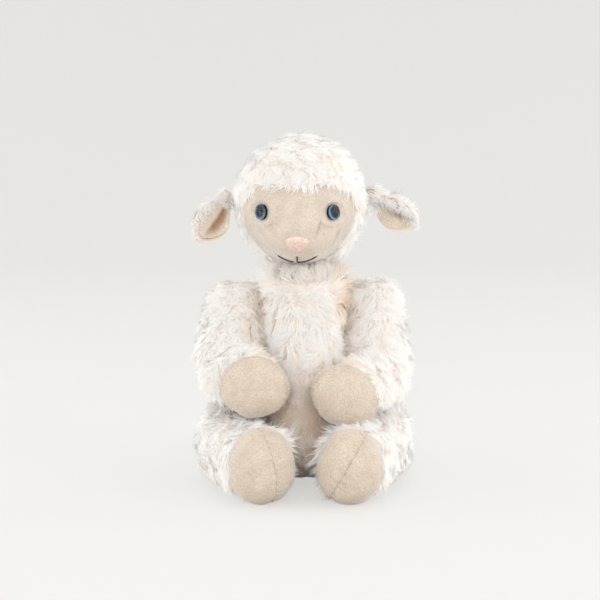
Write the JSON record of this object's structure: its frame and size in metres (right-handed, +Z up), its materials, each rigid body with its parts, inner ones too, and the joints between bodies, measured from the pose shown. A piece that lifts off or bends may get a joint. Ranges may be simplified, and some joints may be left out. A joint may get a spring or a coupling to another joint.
{
  "type": "plush sheep",
  "caption": "Sitting plush sheep with curly cream fur, short-pile beige face, paws and feet, glossy blue safety eyes and drooping ears.",
  "frame": {"origin": "middle of the flat seat under the body", "axes": "+Z up, the toy faces -Y, its own left is +X"},
  "size_m": [0.1449, 0.1776, 0.2214],
  "materials": {
    "fur": "curly cream pile",
    "velour": "short beige pile",
    "fibre": "loose fibre filling",
    "bead_bag": "plain woven bag of beads",
    "seam_thread": "matte thread",
    "nose_thread": "satin stitch",
    "mouth_thread": "dark thread",
    "clear_lens": "polished clear",
    "iris_blue": "glossy blue",
    "black_plastic": "glossy black",
    "washer_plastic": "matte white"
  },
  "bodies": {
    "torso": {"torso_cover": "fur", "torso_stuffing": "fibre", "seat_bean_bag": "bead_bag"},
    "neck": {"neck_seam": "seam_thread"},
    "head": {"head_hood": "fur", "face_panel": "velour", "head_stuffing": "fibre", "nose_embroidery": "nose_thread", "mouth_stitch_left": "mouth_thread", "mouth_stitch_right": "mouth_thread", "eye_lens_left": "clear_lens", "eye_lens_right": "clear_lens", "iris_ring_left": "iris_blue", "iris_ring_right": "iris_blue", "eye_back_left": "black_plastic", "eye_back_right": "black_plastic", "eye_washer_left": "washer_plastic", "eye_washer_right": "washer_plastic"},
    "ear_left": {"ear_outer_left": "fur", "ear_lining_left": "velour"},
    "ear_right": {"ear_outer_right": "fur", "ear_lining_right": "velour"},
    "shoulder_left": {"shoulder_seam_left": "seam_thread"},
    "shoulder_right": {"shoulder_seam_right": "seam_thread"},
    "arm_left": {"arm_sleeve_left": "fur", "arm_stuffing_left": "fibre", "paw_front_left": "velour", "paw_back_left": "velour"},
    "arm_right": {"arm_sleeve_right": "fur", "arm_stuffing_right": "fibre", "paw_front_right": "velour", "paw_back_right": "velour"},
    "hip_left": {"hip_seam_left": "seam_thread"},
    "hip_right": {"hip_seam_right": "seam_thread"},
    "leg_left": {"leg_cover_left": "fur", "leg_stuffing_left": "fibre", "foot_inner_left": "velour", "foot_outer_left": "velour"},
    "leg_right": {"leg_cover_right": "fur", "leg_stuffing_right": "fibre", "foot_inner_right": "velour", "foot_outer_right": "velour"},
    "tail": {"tail_cover": "fur", "tail_stuffing": "fibre"}
  },
  "joints": [
    {"name": "head_turn", "type": "hinge", "parent": "torso", "child": "neck", "pos_m": [-0.003, -0.002, 0.13545], "axis": [0, 0, 1], "range_deg": [-40, 40], "stiffness_Nm_per_rad": 0.05},
    {"name": "head_nod", "type": "hinge", "parent": "neck", "child": "head", "pos_m": [-0.003, -0.002, 0.1689], "axis": [1, 0, 0], "range_deg": [-10, 10], "stiffness_Nm_per_rad": 0.3},
    {"name": "ear_flap_left", "type": "hinge", "parent": "head", "child": "ear_left", "pos_m": [0.0455, 0.00291, 0.18136], "axis": [0, -1, 0], "range_deg": [0, 60]},
    {"name": "ear_flap_right", "type": "hinge", "parent": "head", "child": "ear_right", "pos_m": [-0.05155, 0.00292, 0.17952], "axis": [0, 1, 0], "range_deg": [0, 60]},
    {"name": "arm_swing_left", "type": "hinge", "parent": "torso", "child": "shoulder_left", "pos_m": [0.0447, -0.003, 0.112], "axis": [-1, 0, 0], "range_deg": [0, 35]},
    {"name": "arm_spread_left", "type": "hinge", "parent": "shoulder_left", "child": "arm_left", "pos_m": [0.0447, -0.003, 0.112], "axis": [0, 0.4147, 0.91], "range_deg": [0, 60]},
    {"name": "arm_swing_right", "type": "hinge", "parent": "torso", "child": "shoulder_right", "pos_m": [-0.0447, -0.003, 0.112], "axis": [-1, 0, 0], "range_deg": [0, 35]},
    {"name": "arm_spread_right", "type": "hinge", "parent": "shoulder_right", "child": "arm_right", "pos_m": [-0.0447, -0.003, 0.112], "axis": [0, -0.4147, -0.91], "range_deg": [0, 60]},
    {"name": "leg_swing_left", "type": "hinge", "parent": "torso", "child": "hip_left", "pos_m": [0.0477, -0.008, 0.024], "axis": [1, 0, 0], "range_deg": [0, 85]},
    {"name": "leg_spread_left", "type": "hinge", "parent": "hip_left", "child": "leg_left", "pos_m": [0.0477, -0.008, 0.024], "axis": [0, 0, 1], "range_deg": [0, 40]},
    {"name": "leg_swing_right", "type": "hinge", "parent": "torso", "child": "hip_right", "pos_m": [-0.0477, -0.008, 0.024], "axis": [1, 0, 0], "range_deg": [0, 85]},
    {"name": "leg_spread_right", "type": "hinge", "parent": "hip_right", "child": "leg_right", "pos_m": [-0.0477, -0.008, 0.024], "axis": [0, 0, -1], "range_deg": [0, 40]},
    {"name": "tail_wag", "type": "hinge", "parent": "torso", "child": "tail", "pos_m": [0, 0.05779, 0.036], "axis": [0, 0, 1], "range_deg": [-25, 25], "stiffness_Nm_per_rad": 0.01}
  ]
}
